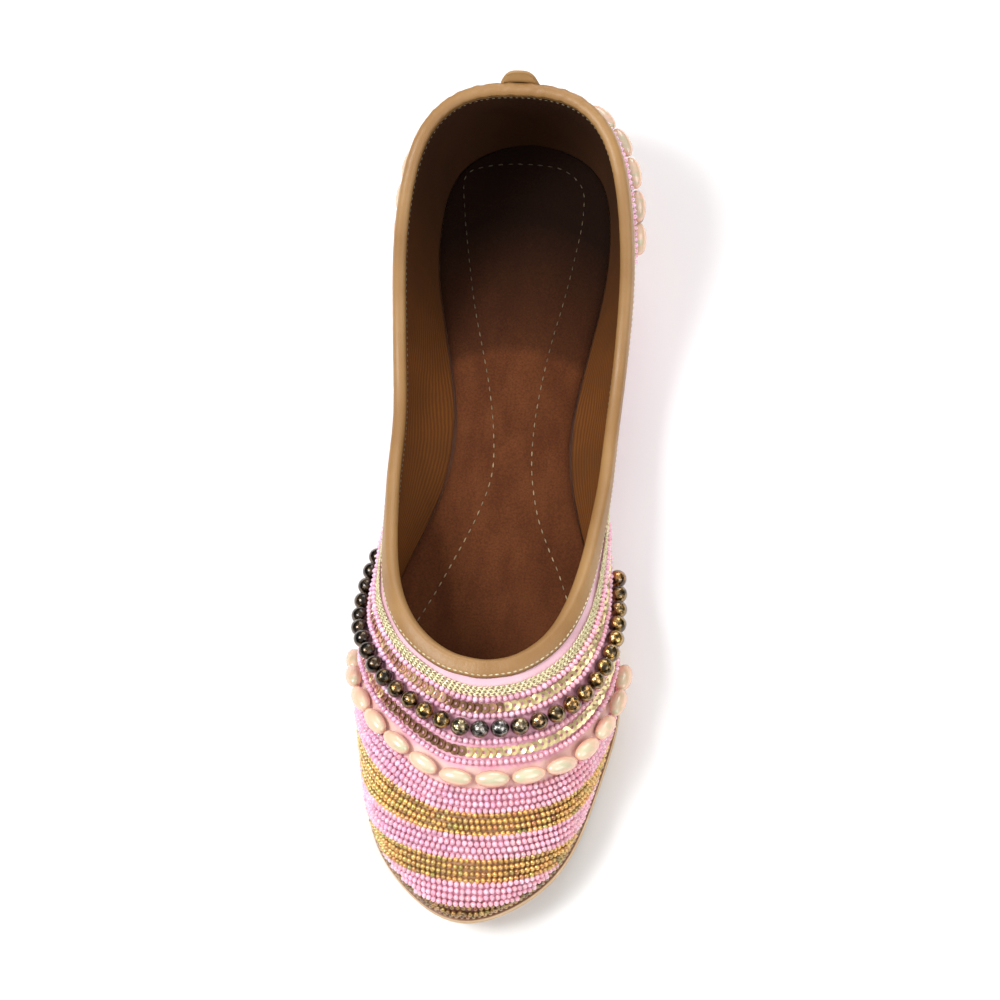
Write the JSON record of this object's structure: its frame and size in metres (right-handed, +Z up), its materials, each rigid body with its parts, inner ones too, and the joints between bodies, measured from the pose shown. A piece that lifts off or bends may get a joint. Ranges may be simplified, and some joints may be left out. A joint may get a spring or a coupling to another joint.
{
  "type": "mojari shoe",
  "caption": "Flat beaded mojari slip-on with a rounded toe, hollow leather upper, bound low collar and rows of seed beads, long pearls and dark beads.",
  "frame": {"origin": "on the floor under the heel, at the middle of the heel's flat rest", "axes": "+Y from toe to heel, +X to the outer side of the foot, +Z up"},
  "size_m": [0.084, 0.2537, 0.0632],
  "materials": {
    "sole_leather": "natural, matt, sewn edge",
    "insole_suede": "brown suede",
    "upper_leather": "soft pink grain",
    "binding_leather": "smooth tan",
    "gold_thread": "metallic thread",
    "seed_beads": "lustred seed beads and sequins",
    "dark_beads": "metallic bronze-black lustre",
    "pearls": "cream pearl lustre"
  },
  "bodies": {
    "root": {"outsole": "sole_leather", "insole": "insole_suede", "upper": "upper_leather", "collar_binding": "binding_leather", "heel_tab": "binding_leather", "dark_bead_strand": "dark_beads", "pearl_strand": "pearls", "heel_pearl_strand": "pearls", "throat_beadwork": "seed_beads", "middle_beadwork": "seed_beads", "toe_beadwork": "seed_beads", "heel_beadwork": "seed_beads", "heel_stud_1": "dark_beads", "heel_stud_2": "dark_beads", "heel_stud_3": "dark_beads", "heel_stud_4": "dark_beads", "heel_stud_5": "dark_beads", "heel_stud_6": "dark_beads", "heel_stud_7": "dark_beads", "heel_stud_8": "dark_beads", "collar_cord": "gold_thread", "vamp_cord_inner": "gold_thread", "vamp_cord_outer": "gold_thread", "heel_cord": "gold_thread"}
  },
  "joints": []
}
